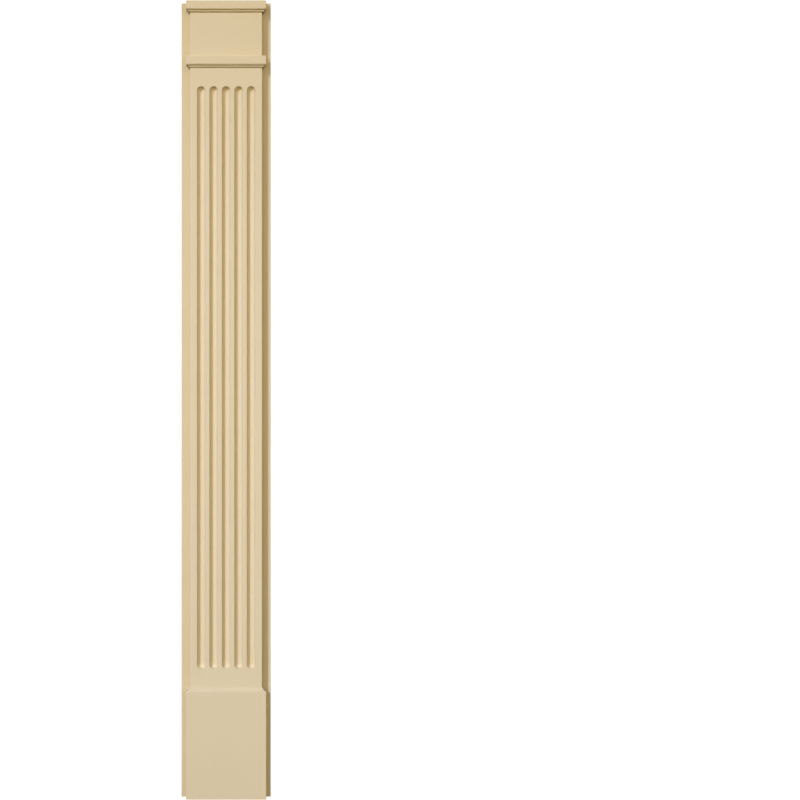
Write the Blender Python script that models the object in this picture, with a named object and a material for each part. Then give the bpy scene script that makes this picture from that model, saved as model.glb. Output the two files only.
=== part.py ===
"""A fluted wall pilaster: a backing board, a fluted shaft, a plinth block and two mitred mouldings.

The origin is the middle of the back face, which goes against the wall. The front looks towards -Y
and +Z is up.
"""

import math

import bmesh
import bpy
from mathutils import Matrix

# Overall sizes
PILASTER_HEIGHT = 2.286
BOARD_THICKNESS = 0.019
SHAFT_WIDTH = 0.206
SHAFT_THICKNESS = 0.0222

# Touching pieces keep this glue line between them
JOINT_GAP = 0.0003

# How far the mouldings and the plinth stand out from the shaft
FRONT_PROJECTION = 0.0102
SIDE_PROJECTION = 0.0115

# Strip of the board that shows beside the mouldings and the plinth
BOARD_REVEAL = 0.0140

# Moulding, from its top edge down
FASCIA_HEIGHT = 0.0206
FASCIA_ROUND_HEIGHT = 0.0060
FASCIA_STEP = 0.0053
BEAD_FACE_HEIGHT = 0.0010
BEAD_ROUND_HEIGHT = 0.0042
BEAD_LIP = 0.0008

# Plain frieze between the two mouldings
FRIEZE_HEIGHT = 0.1269

# Plinth block, and the moulded edge along its top: a round, a narrow shelf, a quirk, a fillet, a
# shallow cove and a lip. The cove's bend is how far its corner lies behind a line between its ends.
PLINTH_FACE_HEIGHT = 0.3070
PLINTH_ROUND_HEIGHT = 0.0030
PLINTH_ROUND_WIDTH = 0.0028
PLINTH_SHELF_WIDTH = 0.0005
PLINTH_QUIRK_DEPTH = 0.0008
PLINTH_QUIRK_WIDTH = 0.0005
PLINTH_FILLET_HEIGHT = 0.0014
PLINTH_COVE_HEIGHT = 0.0058
PLINTH_COVE_BEND = 0.0003
PLINTH_LIP_HEIGHT = 0.0024
PLINTH_LIP_WIDTH = 0.0014

# Flutes, and the flat shaft left beside them and past their ends
FLUTE_COUNT = 5
FLUTE_RADIUS = 0.0119
FLUTE_SIDE_MARGIN = 0.0197
FLUTE_END_MARGIN = 0.0534

# Flat facets that stand for the curves
ARC_SEGMENTS = 8
FLUTE_SIDES = 32
FLUTE_END_RINGS = 7

# Facets that meet at less than this angle are shaded as one curve
SMOOTH_ANGLE = math.radians(30)

# Finish: a tan primer, the same on every piece
PRIMER_TAN = (0.694, 0.571, 0.359, 1.0)
PRIMER_ROUGHNESS = 0.55

TOP_Z = PILASTER_HEIGHT / 2
FOOT_Z = -PILASTER_HEIGHT / 2
BOARD_WIDTH = SHAFT_WIDTH + 2 * (SIDE_PROJECTION + BOARD_REVEAL)
BOARD_FRONT_Y = -BOARD_THICKNESS
APPLIED_BACK_Y = BOARD_FRONT_Y - JOINT_GAP
SHAFT_FRONT_Y = APPLIED_BACK_Y - SHAFT_THICKNESS
MOULDING_HEIGHT = FASCIA_HEIGHT + FASCIA_ROUND_HEIGHT + BEAD_FACE_HEIGHT + BEAD_ROUND_HEIGHT
NECK_TOP_Z = TOP_Z - MOULDING_HEIGHT - FRIEZE_HEIGHT
PLINTH_SHELF_Z = FOOT_Z + PLINTH_FACE_HEIGHT + PLINTH_ROUND_HEIGHT
PLINTH_QUIRK_Z = PLINTH_SHELF_Z - PLINTH_QUIRK_DEPTH
PLINTH_COVE_Z = PLINTH_QUIRK_Z + PLINTH_FILLET_HEIGHT
PLINTH_LIP_Z = PLINTH_COVE_Z + PLINTH_COVE_HEIGHT
PLINTH_TOP_Z = PLINTH_LIP_Z + PLINTH_LIP_HEIGHT
FIRST_FLUTE_X = FLUTE_SIDE_MARGIN + FLUTE_RADIUS - SHAFT_WIDTH / 2
FLUTE_PITCH = -2 * FIRST_FLUTE_X / (FLUTE_COUNT - 1)
FLUTE_TOP_Z = NECK_TOP_Z - MOULDING_HEIGHT - FLUTE_END_MARGIN
FLUTE_FOOT_Z = PLINTH_TOP_Z + FLUTE_END_MARGIN


def clear_scene():
    for obj in list(bpy.data.objects):
        bpy.data.objects.remove(obj, do_unlink=True)


def primer(name):
    """The matt tan primer, as a material of the piece's own."""
    material = bpy.data.materials.new(name)
    material.use_nodes = True
    shader = material.node_tree.nodes["Principled BSDF"]
    shader.inputs["Base Color"].default_value = PRIMER_TAN
    shader.inputs["Roughness"].default_value = PRIMER_ROUGHNESS
    shader.inputs["Metallic"].default_value = 0.0
    return material


def as_object(bm, name):
    """Closes the bmesh as a mesh object of that name, with its faces out and its own primer."""
    bmesh.ops.recalc_face_normals(bm, faces=bm.faces)
    mesh = bpy.data.meshes.new(name)
    bm.to_mesh(mesh)
    bm.free()
    mesh.shade_smooth()
    mesh.set_sharp_from_angle(angle=SMOOTH_ANGLE)
    mesh.materials.append(primer(name + "_primer"))
    obj = bpy.data.objects.new(name, mesh)
    bpy.context.scene.collection.objects.link(obj)
    return obj


def block_mesh(width, back_y, front_y, foot_z, top_z):
    """A square-edged board or block, centred on the pilaster."""
    bm = bmesh.new()
    bmesh.ops.create_cube(bm, size=1.0)
    bmesh.ops.scale(bm, vec=(width, back_y - front_y, top_z - foot_z), verts=bm.verts)
    middle = (0.0, (back_y + front_y) / 2, (foot_z + top_z) / 2)
    bmesh.ops.translate(bm, vec=middle, verts=bm.verts)
    return bm


def quarter(angle_share):
    """Sine and cosine at a share of a quarter turn."""
    angle = angle_share * math.pi / 2
    return math.sin(angle), math.cos(angle)


def curve(start, corner, end):
    """Points from start to end: it leaves towards the corner and bends to arrive from it."""
    points = []
    for step in range(ARC_SEGMENTS + 1):
        across, along = quarter(step / ARC_SEGMENTS)
        out = corner[0] + (start[0] - corner[0]) * (1 - across) + (end[0] - corner[0]) * (1 - along)
        z = corner[1] + (start[1] - corner[1]) * (1 - across) + (end[1] - corner[1]) * (1 - along)
        points.append((out, z))
    return points


def moulding_section(top_z):
    """(standing out, z) round the moulding's section: down its face, and back up behind it."""
    bead_out = FRONT_PROJECTION - FASCIA_STEP
    fascia_foot = top_z - FASCIA_HEIGHT
    step_z = fascia_foot - FASCIA_ROUND_HEIGHT
    bead_face_foot = step_z - BEAD_FACE_HEIGHT
    foot_z = top_z - MOULDING_HEIGHT
    fascia_round = curve((FRONT_PROJECTION, fascia_foot), (FRONT_PROJECTION, step_z), (bead_out, step_z))
    bead = curve((bead_out, bead_face_foot), (bead_out, foot_z), (BEAD_LIP, foot_z))
    return [(FRONT_PROJECTION, top_z)] + fascia_round + bead + [(JOINT_GAP, foot_z), (JOINT_GAP, top_z)]


def plinth_profile():
    """(standing out, z) from the plinth's foot up its face, over its shelf and up its cove to the lip."""
    round_foot = (FRONT_PROJECTION, FOOT_Z + PLINTH_FACE_HEIGHT)
    round_top = (FRONT_PROJECTION - PLINTH_ROUND_WIDTH, PLINTH_SHELF_Z)
    shelf_end = round_top[0] - PLINTH_SHELF_WIDTH
    cove_foot = (shelf_end - PLINTH_QUIRK_WIDTH, PLINTH_COVE_Z)
    cove_top = (PLINTH_LIP_WIDTH, PLINTH_LIP_Z)
    cove_corner = ((cove_foot[0] + cove_top[0]) / 2 - PLINTH_COVE_BEND, (cove_foot[1] + cove_top[1]) / 2)
    face = [(FRONT_PROJECTION, FOOT_Z)] + curve(round_foot, (FRONT_PROJECTION, PLINTH_SHELF_Z), round_top)
    quirk = [(shelf_end, PLINTH_SHELF_Z), (shelf_end, PLINTH_QUIRK_Z), (cove_foot[0], PLINTH_QUIRK_Z)]
    cove = curve(cove_foot, cove_corner, cove_top)
    return face + quirk + cove + [(PLINTH_LIP_WIDTH, PLINTH_TOP_Z)]


def side_out(out):
    """How far a point stands out from the shaft's side when it stands out from its front by that much."""
    widening = (SIDE_PROJECTION - JOINT_GAP) / (FRONT_PROJECTION - JOINT_GAP)
    return JOINT_GAP + (out - JOINT_GAP) * widening


def run_round_shaft(bm, section, closed):
    """Runs a section along the shaft's left side, its front and its right side, mitred at both corners."""
    rows = []
    runs = []
    for side, at_front in ((-1, False), (-1, True), (1, True), (1, False)):
        row = []
        for out, z in section:
            y = SHAFT_FRONT_Y - out if at_front else APPLIED_BACK_Y
            row.append(bm.verts.new((side * (SHAFT_WIDTH / 2 + side_out(out)), y, z)))
        following = row[1:] + row[:1] if closed else row[1:]
        rows.append(row)
        runs.append([bm.edges.new(pair) for pair in zip(row, following)])
    for first, second in zip(runs, runs[1:]):
        bmesh.ops.bridge_loops(bm, edges=first + second)
    return rows


def moulding(name, top_z):
    """A moulding mitred round three sides of the shaft, its two ends flat against the board."""
    bm = bmesh.new()
    rows = run_round_shaft(bm, moulding_section(top_z), closed=True)
    bm.faces.new(rows[0])
    bm.faces.new(rows[-1])
    return as_object(bm, name)


def flute_cutter(centre_x):
    """A round-ended bar whose axis lies on the shaft's face; its flats touch the true radius."""
    corner_radius = FLUTE_RADIUS / math.cos(math.pi / FLUTE_SIDES)
    outline = []
    for step in range(FLUTE_END_RINGS + 1):
        across, along = quarter(step / FLUTE_END_RINGS)
        outline.append((corner_radius * across, FLUTE_TOP_Z - FLUTE_RADIUS * (1 - along)))
    for step in reversed(range(FLUTE_END_RINGS + 1)):
        across, along = quarter(step / FLUTE_END_RINGS)
        outline.append((corner_radius * across, FLUTE_FOOT_Z + FLUTE_RADIUS * (1 - along)))

    bm = bmesh.new()
    points = [bm.verts.new((radius, 0.0, z)) for radius, z in outline]
    edges = [bm.edges.new(pair) for pair in zip(points, points[1:])]
    half_facet = Matrix.Rotation(math.pi / FLUTE_SIDES, 3, "Z")
    bmesh.ops.rotate(bm, cent=(0, 0, 0), matrix=half_facet, verts=bm.verts)
    bmesh.ops.spin(
        bm, geom=points + edges, cent=(0, 0, 0), axis=(0, 0, 1),
        angle=math.tau, steps=FLUTE_SIDES, use_merge=True,
    )
    bmesh.ops.remove_doubles(bm, verts=bm.verts, dist=0.00001)
    bmesh.ops.translate(bm, vec=(centre_x, SHAFT_FRONT_Y, 0.0), verts=bm.verts)
    return as_object(bm, "flute_cutter")


def apply_cuts(obj):
    """Makes the cuts part of the mesh, so that the edges that they leave can be marked as sharp."""
    depsgraph = bpy.context.evaluated_depsgraph_get()
    cut_mesh = bpy.data.meshes.new_from_object(obj.evaluated_get(depsgraph))
    for cut in list(obj.modifiers):
        bpy.data.objects.remove(cut.object, do_unlink=True)
    obj.modifiers.clear()
    obj.data = cut_mesh
    cut_mesh.set_sharp_from_angle(angle=SMOOTH_ANGLE)


def make_board():
    return as_object(block_mesh(BOARD_WIDTH, 0.0, BOARD_FRONT_Y, FOOT_Z, TOP_Z), "backing_board")


def make_shaft():
    """The shaft stands on the plinth and runs up behind both mouldings to the top.

    Its block is first split down the middle of each flute, so that no face is left with a hole in it.
    """
    centres = [FIRST_FLUTE_X + index * FLUTE_PITCH for index in range(FLUTE_COUNT)]
    bm = block_mesh(SHAFT_WIDTH, APPLIED_BACK_Y, SHAFT_FRONT_Y, PLINTH_TOP_Z + JOINT_GAP, TOP_Z)
    for centre_x in centres:
        whole = bm.verts[:] + bm.edges[:] + bm.faces[:]
        bmesh.ops.bisect_plane(bm, geom=whole, plane_co=(centre_x, 0.0, 0.0), plane_no=(1.0, 0.0, 0.0))
    shaft = as_object(bm, "fluted_shaft")
    for centre_x in centres:
        cut = shaft.modifiers.new("flute", "BOOLEAN")
        cut.operation = "DIFFERENCE"
        cut.solver = "EXACT"
        cut.object = flute_cutter(centre_x)
    apply_cuts(shaft)
    return shaft


def make_mouldings():
    moulding("cap_moulding", TOP_Z)
    moulding("neck_moulding", NECK_TOP_Z)


def make_plinth():
    """A solid block: its moulded edge runs round three sides and its back is flat against the board."""
    bm = bmesh.new()
    rows = run_round_shaft(bm, plinth_profile(), closed=False)
    bm.faces.new([row[0] for row in rows])
    bm.faces.new([row[-1] for row in rows])
    bm.faces.new(rows[0] + rows[-1][::-1])
    return as_object(bm, "plinth_block")


clear_scene()
make_board()
make_shaft()
make_mouldings()
make_plinth()
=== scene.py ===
# %% [markdown]
# # A primed, fluted wall pilaster
#
# A pilaster is a flat column that stands against a wall, here beside a doorway. Joiners and moulding
# makers build it up from five pieces: a wide backing board, a fluted shaft, a plinth block for a foot,
# and one moulding used twice, as the cap at the top and as the neck below a plain frieze.
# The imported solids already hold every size. This lesson gives each piece its finished surface: softened
# arrises, smooth flutes and profiles, and a coat of tan factory primer.

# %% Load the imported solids
import math

import bmesh
import bpy
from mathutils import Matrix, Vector


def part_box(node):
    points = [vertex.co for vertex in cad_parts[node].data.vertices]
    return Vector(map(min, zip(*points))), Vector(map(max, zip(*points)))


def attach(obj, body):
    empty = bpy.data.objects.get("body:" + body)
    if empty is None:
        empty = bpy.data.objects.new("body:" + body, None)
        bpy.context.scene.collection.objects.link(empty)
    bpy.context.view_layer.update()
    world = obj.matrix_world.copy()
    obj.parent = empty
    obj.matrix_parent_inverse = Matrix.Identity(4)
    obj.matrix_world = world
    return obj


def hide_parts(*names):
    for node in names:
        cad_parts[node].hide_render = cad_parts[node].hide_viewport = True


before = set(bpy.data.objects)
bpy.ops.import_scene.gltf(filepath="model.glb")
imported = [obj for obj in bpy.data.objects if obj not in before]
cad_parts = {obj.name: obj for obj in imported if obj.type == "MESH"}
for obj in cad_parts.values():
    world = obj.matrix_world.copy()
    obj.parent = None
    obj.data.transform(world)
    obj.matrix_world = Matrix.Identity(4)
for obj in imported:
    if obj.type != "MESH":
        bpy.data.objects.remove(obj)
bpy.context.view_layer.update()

MM = 0.001

# %% [markdown]
# ## Where everything stands
#
# The frame's boxes give the places: the board's face, the shaft's face, and the top and foot of each
# piece. The solids keep a hair of air between neighbours, where the real pieces are glued. The finished
# pieces close that line, because glue and primer fill it.

# %% Read the places from the frame
board_low, board_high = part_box("backing_board")
shaft_low, shaft_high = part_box("fluted_shaft")
cap_low, cap_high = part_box("cap_moulding")
neck_low, neck_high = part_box("neck_moulding")
plinth_low, plinth_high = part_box("plinth_block")

BOARD_FACE_Y = board_low.y
SHAFT_FACE_Y = shaft_low.y
SHAFT_HALF_WIDTH = shaft_high.x
FRONT_PROJECTION = shaft_low.y - cap_low.y
SIDE_PROJECTION = cap_high.x - shaft_high.x
print(f"shaft {2 * SHAFT_HALF_WIDTH / MM:.1f} mm wide and {(BOARD_FACE_Y - SHAFT_FACE_Y) / MM:.1f} mm thick")
print(f"mouldings stand out {FRONT_PROJECTION / MM:.1f} mm in front, {SIDE_PROJECTION / MM:.1f} at the sides")

# %% [markdown]
# ## One helper that finishes a piece
#
# Every piece ends in the same way, so one function does it. It welds what lies on itself, turns the
# faces outwards and makes the mesh an object. Flat faces beside small roundings shade badly when all
# normals are averaged alike. The Weighted Normal modifier lets the large flat faces win, so they stay
# flat to the eye and only the arrises turn.

# %% Turn a bmesh into a finished piece
WELD_DISTANCE = 0.01 * MM
SHARP_ANGLE = math.radians(50)
pieces = []


def finish_piece(bm, name, node):
    """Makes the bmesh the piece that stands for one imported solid."""
    bmesh.ops.remove_doubles(bm, verts=bm.verts, dist=WELD_DISTANCE)
    bmesh.ops.recalc_face_normals(bm, faces=bm.faces)
    open_edges = sum(not edge.is_manifold for edge in bm.edges)
    volume = bm.calc_volume(signed=True)
    mesh = bpy.data.meshes.new(name)
    bm.to_mesh(mesh)
    bm.free()
    mesh.shade_smooth()
    mesh.set_sharp_from_angle(angle=SHARP_ANGLE)
    piece = bpy.data.objects.new(name, mesh)
    bpy.context.scene.collection.objects.link(piece)
    shading = piece.modifiers.new("flat_faces_stay_flat", "WEIGHTED_NORMAL")
    shading.keep_sharp = True
    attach(piece, "root")
    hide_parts(node)
    pieces.append(piece)
    print(f"{name}: {len(mesh.polygons)} faces, {open_edges} open edges, {volume * 1e6:.0f} cm3")
    return piece


# %% [markdown]
# ## The backing board
#
# The board is plain stock, planed on all sides. What makes it look real is its arrises: a machine
# takes about a millimetre off each long edge, and that thin round catches the light. A cube scaled to
# size and bevelled all round is the plainest way, and here the best one.

# %% Make the backing board
ARRIS = 1.0 * MM
ARRIS_SEGMENTS = 4


def rounded_block(low, high, rounded_edges):
    """A block between two corners, with a rounded arris along the edges that the test picks."""
    bm = bmesh.new()
    bmesh.ops.create_cube(bm, size=1.0)
    bmesh.ops.scale(bm, vec=high - low, verts=bm.verts)
    bmesh.ops.translate(bm, vec=(low + high) / 2, verts=bm.verts)
    picked = [edge for edge in bm.edges if rounded_edges(edge)]
    bmesh.ops.bevel(
        bm, geom=picked, offset=ARRIS, segments=ARRIS_SEGMENTS, profile=0.5, affect="EDGES", material=-1
    )
    return bm


board_bm = rounded_block(board_low, board_high, lambda edge: True)
board = finish_piece(board_bm, "primed_backing_board", "backing_board")

# %% [markdown]
# ## One flute
#
# A flute is cut with a round-nosed tool: half round across, with ends like a quarter of a ball, and a
# rim that sanding has eased. It could be cut out with a Boolean, but its rim would then be hard to
# round. Instead half of its section is drawn as a line, from the deepest point up to the shaft's face.
# That line is spun half a turn at the top end, pulled down the length, spun half a turn at the foot,
# and pulled back up. What is left open is a stadium-shaped rim on the face.

# %% Draw half of the flute's section
FLUTE_COUNT = 5
FLUTE_RADIUS = 11.9 * MM
FLUTE_SIDE_MARGIN = 19.7 * MM
FLUTE_END_MARGIN = 53.4 * MM
FLUTE_RIM_EASE = 0.8 * MM
FLUTE_RIM_SEGMENTS = 3
FLUTE_FACE_COLLAR = 1.6 * MM
FLUTE_ARC_SEGMENTS = 16
FLUTE_END_STEPS = 32

flute_length = (neck_low.z - FLUTE_END_MARGIN) - (plinth_high.z + FLUTE_END_MARGIN)
pull_length = flute_length - 2 * FLUTE_RADIUS


def half_section():
    """A line from the flute's deepest point to a collar on the face; the flute's axis is its origin."""
    bm = bmesh.new()
    deepest = bm.verts.new((0.0, FLUTE_RADIUS, 0.0))
    arc = bmesh.ops.spin(
        bm, geom=[deepest], cent=(0, 0, 0), axis=(0, 0, 1), angle=-math.pi / 2, steps=FLUTE_ARC_SEGMENTS
    )
    rim = next(item for item in arc["geom_last"] if isinstance(item, bmesh.types.BMVert))
    collar = bm.verts.new(rim.co + Vector((FLUTE_FACE_COLLAR, 0, 0)))
    bm.edges.new((rim, collar))
    bmesh.ops.bevel(
        bm, geom=[rim], offset=FLUTE_RIM_EASE, segments=FLUTE_RIM_SEGMENTS, profile=0.5,
        affect="VERTICES", material=-1,
    )
    return bm


flute_bm = half_section()
print(f"flute {flute_length / MM:.1f} mm long, half section of {len(flute_bm.edges)} edges")

# %% Spin and pull the flute
def only(geom, kind):
    """The elements of one kind among what an operator gave back."""
    return [item for item in geom if isinstance(item, kind)]


def pull(bm, edges, distance):
    """Extrudes the line along Z and gives back its far end."""
    far = bmesh.ops.extrude_edge_only(bm, edges=edges)["geom"]
    bmesh.ops.translate(bm, vec=(0, 0, distance), verts=only(far, bmesh.types.BMVert))
    return only(far, bmesh.types.BMEdge)


def half_turn(bm, edges, centre_z):
    """Spins the line half a turn round an axis that goes straight into the shaft's face."""
    line = edges + list({vert for edge in edges for vert in edge.verts})
    turned = bmesh.ops.spin(
        bm, geom=line, cent=(0, 0, centre_z), axis=(0, 1, 0), angle=-math.pi, steps=FLUTE_END_STEPS
    )
    return only(turned["geom_last"], bmesh.types.BMEdge)


first_line = flute_bm.edges[:]
left_line = half_turn(flute_bm, first_line, 0.0)
left_foot = pull(flute_bm, left_line, -pull_length)
right_foot = half_turn(flute_bm, left_foot, -pull_length)
pull(flute_bm, right_foot, pull_length)
bmesh.ops.remove_doubles(flute_bm, verts=flute_bm.verts, dist=WELD_DISTANCE)
flute_mesh = bpy.data.meshes.new("flute")
flute_bm.to_mesh(flute_mesh)
rim_edges = sum(edge.is_boundary for edge in flute_bm.edges)
print(f"flute: {len(flute_mesh.polygons)} faces, {rim_edges} edges round its rim")
flute_bm.free()

# %% [markdown]
# ## The fluted shaft
#
# The shaft is a block with its two front arrises eased. Its front face comes off, the five flutes are
# set in the opening, and the flat left between them is filled in one go. The shaft stands on the
# plinth and runs up behind both mouldings to the very top, so the plain frieze is part of it.

# %% Set the flutes in the shaft
def is_front_arris(edge):
    """Says whether an edge of the block runs up the shaft's front."""
    start, end = (vert.co for vert in edge.verts)
    in_front = max(start.y, end.y) < SHAFT_FACE_Y + ARRIS / 2
    return in_front and abs(start.x - end.x) < WELD_DISTANCE


shaft_back = Vector((shaft_high.x, BOARD_FACE_Y, shaft_high.z))
shaft_front = Vector((shaft_low.x, SHAFT_FACE_Y, plinth_high.z))
shaft_bm = rounded_block(shaft_front, shaft_back, is_front_arris)
front_face = min(shaft_bm.faces, key=lambda face: face.calc_center_median().y)
outline = front_face.edges[:]
bmesh.ops.delete(shaft_bm, geom=[front_face], context="FACES_ONLY")

first_x = FLUTE_SIDE_MARGIN + FLUTE_RADIUS - SHAFT_HALF_WIDTH
pitch = -2 * first_x / (FLUTE_COUNT - 1)
top_centre_z = neck_low.z - FLUTE_END_MARGIN - FLUTE_RADIUS
for index in range(FLUTE_COUNT):
    already = set(shaft_bm.verts)
    shaft_bm.from_mesh(flute_mesh)
    added = [vert for vert in shaft_bm.verts if vert not in already]
    place = (first_x + index * pitch, SHAFT_FACE_Y, top_centre_z)
    bmesh.ops.translate(shaft_bm, vec=place, verts=added)
rims = [edge for edge in shaft_bm.edges if edge.is_boundary and edge not in outline]
bmesh.ops.triangle_fill(shaft_bm, use_beauty=True, edges=outline + rims, normal=(0, -1, 0))
bpy.data.meshes.remove(flute_mesh)
print(f"flutes {pitch / MM:.1f} mm apart")
finish_piece(shaft_bm, "primed_fluted_shaft", "fluted_shaft")

# %% [markdown]
# ## Profiles that run round the shaft
#
# A moulding is one profile run along a line, mitred at the corners. Its section needs only a few
# points: where a curve belongs, a corner point stands between the two ends of the curve, and
# bevelling that corner by all of both edges draws the quarter of an ellipse.
# The section starts flat against the board at the left. It is pulled forward to the mitre, across to
# the other mitre, and back to the board.

# %% Helpers for a run of moulding
CURVE_SEGMENTS = 14
MITRE_EASE = 0.6 * MM
MITRE_SEGMENTS = 3
SHORTEST_EASED = 5 * MM


def draw_section(bm, points):
    """Draws (standing out, z, is a curve's corner) points as a line and rounds the corners marked so."""
    verts = [bm.verts.new((out, 0.0, z)) for out, z, _ in points]
    for pair in zip(verts, verts[1:]):
        bm.edges.new(pair)
    for vert, (_, _, curved) in zip(verts, points):
        if curved:
            bmesh.ops.bevel(
                bm, geom=[vert], offset=100, offset_type="PERCENT", segments=CURVE_SEGMENTS,
                profile=0.5, affect="VERTICES", material=-1,
            )
    bmesh.ops.remove_doubles(bm, verts=bm.verts, dist=WELD_DISTANCE)


def run_round_shaft(bm):
    """Pulls the drawn line round three sides of the shaft, with a mitre at both front corners."""
    outs = bm.verts.layers.float.new("standing_out")
    widening = SIDE_PROJECTION / FRONT_PROJECTION
    for vert in bm.verts:
        vert[outs] = vert.co.x
        vert.co.x = -SHAFT_HALF_WIDTH - vert.co.x * widening
        vert.co.y = BOARD_FACE_Y
    line = bm.edges[:]
    for leg in ("forward", "across", "back"):
        geom = bmesh.ops.extrude_edge_only(bm, edges=line)["geom"]
        for vert in only(geom, bmesh.types.BMVert):
            if leg == "forward":
                vert.co.y = SHAFT_FACE_Y - vert[outs]
            elif leg == "across":
                vert.co.x = -vert.co.x
            else:
                vert.co.y = BOARD_FACE_Y
        line = only(geom, bmesh.types.BMEdge)


def ease_mitres(bm):
    """Rounds the upright edges at the two front corners."""
    corners = [
        edge for edge in bm.edges
        if abs(edge.verts[0].co.x - edge.verts[1].co.x) < WELD_DISTANCE
        and abs(edge.verts[0].co.y - edge.verts[1].co.y) < WELD_DISTANCE
        and edge.verts[0].co.y < SHAFT_FACE_Y - FRONT_PROJECTION / 2
        and edge.calc_length() > SHORTEST_EASED
    ]
    bmesh.ops.bevel(
        bm, geom=corners, offset=MITRE_EASE, segments=MITRE_SEGMENTS, profile=0.5, affect="EDGES", material=-1
    )
    return len(corners)


# %% [markdown]
# ## The cap and neck mouldings
#
# Both are lengths of one stock moulding. From the top down it has a flat fascia, a quick round under
# it, a small step back, and a bead that rounds under into the shaft. Its top arris is eased too.

# %% Run the two mouldings
FASCIA_HEIGHT = 20.6 * MM
FASCIA_ROUND_HEIGHT = 6.0 * MM
FASCIA_STEP = 5.3 * MM
BEAD_FACE_HEIGHT = 1.0 * MM
BEAD_LIP = 0.8 * MM


def moulding(name, node, foot_z, top_z):
    """Makes one length of the stock moulding, returned to the board at both ends."""
    bead_out = FRONT_PROJECTION - FASCIA_STEP
    fascia_foot = top_z - FASCIA_HEIGHT
    step_z = fascia_foot - FASCIA_ROUND_HEIGHT
    points = [
        (0.0, top_z, False),
        (FRONT_PROJECTION - ARRIS, top_z, False),
        (FRONT_PROJECTION, top_z, True),
        (FRONT_PROJECTION, top_z - ARRIS, False),
        (FRONT_PROJECTION, fascia_foot, False),
        (FRONT_PROJECTION, step_z, True),
        (bead_out, step_z, False),
        (bead_out, step_z - BEAD_FACE_HEIGHT, False),
        (bead_out, foot_z, True),
        (BEAD_LIP, foot_z, False),
        (0.0, foot_z, False),
    ]
    bm = bmesh.new()
    draw_section(bm, points)
    top = min(bm.verts, key=lambda vert: (vert.co.x, -vert.co.z))
    foot = min(bm.verts, key=lambda vert: (vert.co.x, vert.co.z))
    bm.edges.new((foot, top))
    run_round_shaft(bm)
    bmesh.ops.holes_fill(bm, edges=[edge for edge in bm.edges if edge.is_boundary], sides=0)
    eased = ease_mitres(bm)
    print(f"{name}: {eased} mitred corners eased")
    finish_piece(bm, name, node)


moulding("primed_cap_moulding", "cap_moulding", cap_low.z, cap_high.z)
moulding("primed_neck_moulding", "neck_moulding", neck_low.z, neck_high.z)

# %% [markdown]
# ## The plinth block
#
# The plinth is a solid block as thick as the mouldings, so that the floor's skirting can die against
# it. Along the top of its front and sides runs a small round, then a quirk, which is a fine sunk line,
# a fillet, and a shallow cove that ends in a lip under the shaft.
# Its section is drawn as an open line and run round like the mouldings. That leaves the foot, the top
# and the back open: the foot and the top are closed between their four corners, and the back after
# them.

# %% Draw the plinth's edge
PLINTH_FACE_HEIGHT = 307.0 * MM
PLINTH_ROUND_HEIGHT = 3.0 * MM
PLINTH_ROUND_WIDTH = 2.8 * MM
SHELF_WIDTH = 0.5 * MM
QUIRK_DEPTH = 0.8 * MM
QUIRK_WIDTH = 0.5 * MM
FILLET_HEIGHT = 1.4 * MM
COVE_BEND = 0.3 * MM
LIP_HEIGHT = 2.4 * MM
LIP_WIDTH = 1.4 * MM

face_top = plinth_low.z + PLINTH_FACE_HEIGHT
shelf_z = face_top + PLINTH_ROUND_HEIGHT
quirk_z = shelf_z - QUIRK_DEPTH
cove_z = quirk_z + FILLET_HEIGHT
lip_z = plinth_high.z - LIP_HEIGHT
round_out = FRONT_PROJECTION - PLINTH_ROUND_WIDTH
shelf_end = round_out - SHELF_WIDTH
cove_foot = shelf_end - QUIRK_WIDTH
plinth_points = [
    (FRONT_PROJECTION, plinth_low.z, False),
    (FRONT_PROJECTION, face_top, False),
    (FRONT_PROJECTION, shelf_z, True),
    (round_out, shelf_z, False),
    (shelf_end, shelf_z, False),
    (shelf_end, quirk_z, False),
    (cove_foot, quirk_z, False),
    (cove_foot, cove_z, False),
    ((cove_foot + LIP_WIDTH) / 2 - COVE_BEND, (cove_z + lip_z) / 2, True),
    (LIP_WIDTH, lip_z, False),
    (LIP_WIDTH, plinth_high.z, False),
]
plinth_bm = bmesh.new()
draw_section(plinth_bm, plinth_points)
print(f"plinth's edge: {len(plinth_bm.edges)} short lines")

# %% Run the edge round and close the block
run_round_shaft(plinth_bm)
for level in (plinth_low.z, plinth_high.z):
    corners = [vert for vert in plinth_bm.verts if abs(vert.co.z - level) < WELD_DISTANCE]
    bmesh.ops.contextual_create(plinth_bm, geom=corners)
bmesh.ops.holes_fill(plinth_bm, edges=[edge for edge in plinth_bm.edges if edge.is_boundary], sides=0)
ease_mitres(plinth_bm)
finish_piece(plinth_bm, "primed_plinth_block", "plinth_block")

# %% [markdown]
# ## The primer
#
# Every piece is sprayed with tan primer, an opaque acrylic coat that dries matt. Sprayed paint settles
# in a faint orange peel, a few millimetres from dimple to dimple, and its tone drifts a little over a
# hand's width. Procedural noise on Object coordinates gives both. It needs no unwrapping, and since all
# pieces share one origin, the coat runs on from piece to piece without a seam. The board gets the same
# coat a touch deeper and warmer: painted shade for the dimmer, warmer light it gets set back behind the
# shaft.

# %% Helpers for materials
def linear(hex_colour):
    """An sRGB hex colour as the linear colour that the shader wants."""
    channels = [int(hex_colour[start:start + 2], 16) / 255 for start in (1, 3, 5)]
    straight = [c / 12.92 if c <= 0.04045 else ((c + 0.055) / 1.055) ** 2.4 for c in channels]
    return (*straight, 1.0)


def add_node(tree, kind, settings, inputs):
    """Adds a node with its settings, and with a value or a link for each input that is named."""
    node = tree.nodes.new(kind)
    for name, value in settings.items():
        setattr(node, name, value)
    for name, value in inputs.items():
        if isinstance(value, bpy.types.NodeSocket):
            tree.links.new(value, node.inputs[name])
        else:
            node.inputs[name].default_value = value
    return node


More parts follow.
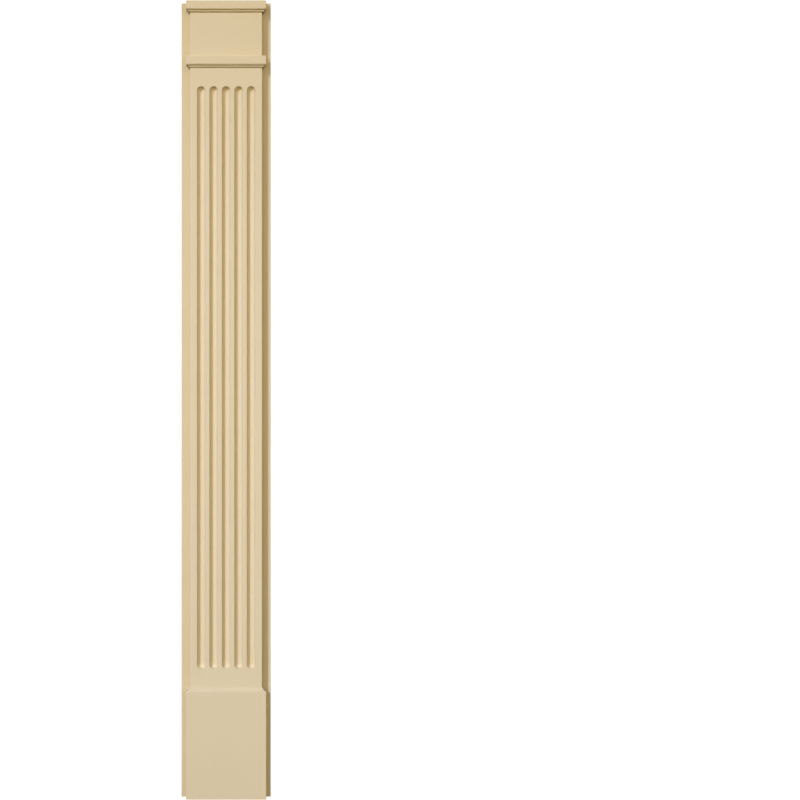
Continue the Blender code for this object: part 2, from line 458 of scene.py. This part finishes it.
# %% Mix the primer
# Sprayed acrylic primer, left unsanded: it reads as matt, with a soft broad gloss.
PRIMER_LIGHT = "#DBC9A2"
PRIMER_DEEP = "#D8C59C"
# The board's copy of the coat is a touch deeper and warmer: painted shade for the board, set back behind the
# shaft.
BOARD_PAINTED_SHADE_PALE = "#D5C198"
BOARD_PAINTED_SHADE_DEEP = "#D2BD92"
PRIMER_ROUGHNESS = 0.55
PRIMER_ROUGHNESS_DRIFT = 0.06
PRIMER_IOR = 1.5
# The Mix node has sockets of the same name for each kind of data, so its colours go by number.
MIX_COLOUR_A = 6
MIX_COLOUR_B = 7
MIX_COLOUR_RESULT = 2
TONE_DRIFT_SIZE = 90 * MM
PEEL_SPACING = 3.5 * MM
PEEL_DEPTH = 0.03 * MM
# The mist of overspray is finer than this in life; it is drawn this coarse so that it shows.
MIST_SPACING = 1.2 * MM
MIST_DEPTH = 0.008 * MM


def noise(tree, place, size, detail):
    """Noise whose blotches are about the given size across."""
    inputs = {"Vector": place, "Scale": 1 / size, "Detail": detail}
    return add_node(tree, "ShaderNodeTexNoise", {}, inputs)


def primer_coat(name, light, deep):
    """The tan primer, with its drift of tone, its orange peel and its mist of overspray."""
    material = bpy.data.materials.new(name)
    material.use_nodes = True
    tree = material.node_tree
    shader = tree.nodes["Principled BSDF"]
    shader.inputs["IOR"].default_value = PRIMER_IOR
    place = add_node(tree, "ShaderNodeTexCoord", {}, {}).outputs["Object"]

    drift = noise(tree, place, TONE_DRIFT_SIZE, 3.0)
    tone = add_node(
        tree, "ShaderNodeMix", {"data_type": "RGBA"},
        {"Factor": drift.outputs["Fac"], MIX_COLOUR_A: linear(deep), MIX_COLOUR_B: linear(light)},
    )
    tree.links.new(tone.outputs[MIX_COLOUR_RESULT], shader.inputs["Base Color"])

    peel = noise(tree, place, PEEL_SPACING, 1.0)
    mist = noise(tree, place, MIST_SPACING, 2.0)
    gloss = add_node(
        tree, "ShaderNodeMapRange", {},
        {
            "Value": mist.outputs["Fac"],
            "To Min": PRIMER_ROUGHNESS - PRIMER_ROUGHNESS_DRIFT,
            "To Max": PRIMER_ROUGHNESS + PRIMER_ROUGHNESS_DRIFT,
        },
    )
    tree.links.new(gloss.outputs["Result"], shader.inputs["Roughness"])

    dimples = add_node(tree, "ShaderNodeBump", {}, {"Height": peel.outputs["Fac"], "Distance": PEEL_DEPTH})
    grain = add_node(
        tree, "ShaderNodeBump", {},
        {"Height": mist.outputs["Fac"], "Distance": MIST_DEPTH, "Normal": dimples.outputs["Normal"]},
    )
    tree.links.new(grain.outputs["Normal"], shader.inputs["Normal"])
    return material


primer = primer_coat("sprayed_tan_acrylic_primer", PRIMER_LIGHT, PRIMER_DEEP)
# The board gets its own deeper copy of the coat: painted shade for its place behind the shaft.
board_primer_painted_shade = primer_coat("sprayed_tan_acrylic_primer_painted_shade", BOARD_PAINTED_SHADE_PALE, BOARD_PAINTED_SHADE_DEEP)
for piece in pieces:
    piece.data.materials.append(board_primer_painted_shade if piece is board else primer)
print("primer", PRIMER_LIGHT, "is linear", [round(channel, 3) for channel in linear(PRIMER_LIGHT)])

# %% [markdown]
# ## The stage
#
# The pilaster stands on plain white paper, in a white studio. The paper only shows: it is kept from
# lighting the pieces, or the undersides of the mouldings would lose their dark lines.

# %% Lay the floor
FLOOR_SIZE = 60.0
FLOOR_WHITE = "#F2F2F2"
FLOOR_GLOW = 0.78
FLOOR_ROUGHNESS = 0.9

floor_bm = bmesh.new()
bmesh.ops.create_grid(floor_bm, x_segments=1, y_segments=1, size=FLOOR_SIZE / 2)
bmesh.ops.translate(floor_bm, vec=(0, 0, board_low.z), verts=floor_bm.verts)
floor_mesh = bpy.data.meshes.new("studio_floor")
floor_bm.to_mesh(floor_mesh)
floor_bm.free()
floor = bpy.data.objects.new("studio_floor", floor_mesh)
floor.visible_diffuse = False
floor.visible_glossy = False
bpy.context.scene.collection.objects.link(floor)

paper = bpy.data.materials.new("white_paper")
paper.use_nodes = True
paper_shader = paper.node_tree.nodes["Principled BSDF"]
paper_shader.inputs["Base Color"].default_value = linear(FLOOR_WHITE)
paper_shader.inputs["Roughness"].default_value = FLOOR_ROUGHNESS
paper_shader.inputs["Emission Color"].default_value = (1, 1, 1, 1)
paper_shader.inputs["Emission Strength"].default_value = FLOOR_GLOW
floor_mesh.materials.append(paper)
print("floor at", round(board_low.z, 4), "m")

# %% [markdown]
# ## The soft light of the studio
#
# Most of the light is soft and comes from the studio's walls in front of the pilaster and behind it. A
# cool white fills their upper half and fades towards the ceiling, and a warm glow lies on them at eye
# level. Little comes from above or below, so ledges don't glare and undersides stay deep. All this is
# one world shader: the direction of a ray says what it meets. The camera sees plain white instead.

# %% Light the studio
UPPER_COLOUR = (0.784, 0.848, 1.0, 1.0)
UPPER_STRENGTH = 3.08
UPPER_EDGE = 0.03
UPPER_FADE = 2.0
WALL_COLOUR = (1.0, 0.69, 0.0, 1.0)
WALL_STRENGTH = 0.33
WALL_FOCUS = 3.0
SEEN_WHITE = 1.1

world = bpy.data.worlds.new("white_studio")
world.use_nodes = True
sky = world.node_tree
towards = add_node(sky, "ShaderNodeTexCoord", {}, {}).outputs["Generated"]
axes = add_node(sky, "ShaderNodeSeparateXYZ", {}, {"Vector": towards})
above = add_node(
    sky, "ShaderNodeMapRange", {},
    {"Value": axes.outputs["Z"], "From Min": -UPPER_EDGE, "From Max": UPPER_EDGE, "To Max": UPPER_STRENGTH},
)
lowness = add_node(sky, "ShaderNodeMath", {"operation": "SUBTRACT"}, {0: 1.0, 1: axes.outputs["Z"]})
fade = add_node(sky, "ShaderNodeMath", {"operation": "POWER"}, {0: lowness.outputs[0], 1: UPPER_FADE})
high = add_node(sky, "ShaderNodeMath", {"operation": "MULTIPLY"}, {0: above.outputs[0], 1: fade.outputs[0]})
facing = add_node(sky, "ShaderNodeMath", {"operation": "ABSOLUTE"}, {0: axes.outputs["Y"]})
upper = add_node(sky, "ShaderNodeMath", {"operation": "MULTIPLY"}, {0: high.outputs[0], 1: facing.outputs[0]})
focus = add_node(sky, "ShaderNodeMath", {"operation": "POWER"}, {0: facing.outputs[0], 1: WALL_FOCUS})
glow = add_node(sky, "ShaderNodeMath", {"operation": "MULTIPLY"}, {0: focus.outputs[0], 1: WALL_STRENGTH})
ceiling = add_node(sky, "ShaderNodeBackground", {}, {"Color": UPPER_COLOUR, "Strength": upper.outputs[0]})
walls = add_node(sky, "ShaderNodeBackground", {}, {"Color": WALL_COLOUR, "Strength": glow.outputs[0]})
studio = add_node(sky, "ShaderNodeAddShader", {}, {0: ceiling.outputs[0], 1: walls.outputs[0]})
seen = add_node(sky, "ShaderNodeBackground", {}, {"Color": (1, 1, 1, 1), "Strength": SEEN_WHITE})
ray = add_node(sky, "ShaderNodeLightPath", {}, {})
mixed = add_node(
    sky, "ShaderNodeMixShader", {},
    {0: ray.outputs["Is Camera Ray"], 1: studio.outputs[0], 2: seen.outputs[0]},
)
sky.links.new(mixed.outputs[0], sky.nodes["World Output"].inputs["Surface"])
bpy.context.scene.world = world
bpy.context.scene.view_settings.view_transform = "Standard"
print("soft light of", UPPER_STRENGTH, "from the upper walls and", WALL_STRENGTH, "from front and back")

# %% [markdown]
# ## The lamps
#
# One light models the form. It comes from the upper left in front, steeply enough that each flute is
# half in shade and the shaft throws a band of shadow on the board. A sun lamp keeps that band even
# from top to foot, as the photograph shows it. The middle of the pilaster is a little lighter there
# than its ends, so a spot far away in the same direction adds a soft pool of light at half height.
# A weak, warm fill from straight ahead opens the shade evenly, right up to the shaft's side.
# All three shine on the pieces alone, so that no long shadow lies across the floor.

# %% Hang the key light, its spot and the fill
LAMP_DISTANCE = 40.0
KEY_DIRECTION = Vector((0.83, 1.0, -0.785))
KEY_STRENGTH = 1.52
KEY_COLOUR = (0.865, 0.885, 1.0)
KEY_ANGLE = math.radians(0.8)
SPOT_POWER = 30100.0
SPOT_COLOUR = (0.39, 0.54, 1.0)
SPOT_REACH = 1.5
SPOT_AIM_Z = -0.22
FILL_DIRECTION = Vector((0, 1, 0))
FILL_STRENGTH = 0.43
FILL_COLOUR = (1.0, 0.69, 0.0)
FILL_ANGLE = math.radians(5)

lit_pieces = bpy.data.collections.new("lit_by_the_lamps")
for piece in pieces:
    lit_pieces.objects.link(piece)


def hang_lamp(name, kind, direction, aim, strength, colour):
    """A lamp far off that shines in a direction at a point, and on the pieces alone."""
    lamp = bpy.data.lights.new(name, kind)
    lamp.energy = strength
    lamp.color = colour
    hung = bpy.data.objects.new(name, lamp)
    hung.location = aim - direction.normalized() * LAMP_DISTANCE
    hung.rotation_euler = direction.to_track_quat("-Z", "Y").to_euler()
    hung.light_linking.receiver_collection = lit_pieces
    bpy.context.scene.collection.objects.link(hung)
    return lamp


key_lamp = hang_lamp("key", "SUN", KEY_DIRECTION, Vector(), KEY_STRENGTH, KEY_COLOUR)
key_lamp.angle = KEY_ANGLE
pool_aim = Vector((0, 0, SPOT_AIM_Z))
spot_lamp = hang_lamp("pool_at_half_height", "SPOT", KEY_DIRECTION, pool_aim, SPOT_POWER, SPOT_COLOUR)
spot_lamp.spot_size = 2 * math.atan(SPOT_REACH / LAMP_DISTANCE)
spot_lamp.spot_blend = 1.0
spot_lamp.shadow_soft_size = LAMP_DISTANCE * math.tan(KEY_ANGLE / 2)
fill_lamp = hang_lamp("front_fill", "SUN", FILL_DIRECTION, Vector(), FILL_STRENGTH, FILL_COLOUR)
fill_lamp.angle = FILL_ANGLE
print("key light from", [round(-value, 2) for value in KEY_DIRECTION])

# %% [markdown]
# ## The camera
#
# The camera looks straight on at half height, from about four metres. The picture has the pilaster
# left of its middle, and a sideways shift of the lens puts it there without turning the camera.

# %% Set up the camera
PICTURE_WIDTH_PX = 800
PILASTER_CENTRE_PX = 226.15
PILASTER_HEIGHT_PX = 799.6
CAMERA_DISTANCE = 4.05
SENSOR_WIDTH_MM = 36.0

front_height = board_high.z - board_low.z
camera_data = bpy.data.cameras.new("camera")
camera_data.sensor_width = SENSOR_WIDTH_MM
camera_data.lens = SENSOR_WIDTH_MM * PILASTER_HEIGHT_PX / PICTURE_WIDTH_PX * CAMERA_DISTANCE / front_height
camera_data.shift_x = 0.5 - PILASTER_CENTRE_PX / PICTURE_WIDTH_PX
camera = bpy.data.objects.new("camera", camera_data)
camera.location = (0.0, cap_low.y - CAMERA_DISTANCE, (board_low.z + board_high.z) / 2)
camera.rotation_euler = (math.pi / 2, 0.0, 0.0)
bpy.context.scene.collection.objects.link(camera)
bpy.context.scene.camera = camera
print(f"lens {camera_data.lens:.1f} mm, shift {camera_data.shift_x:.4f}")
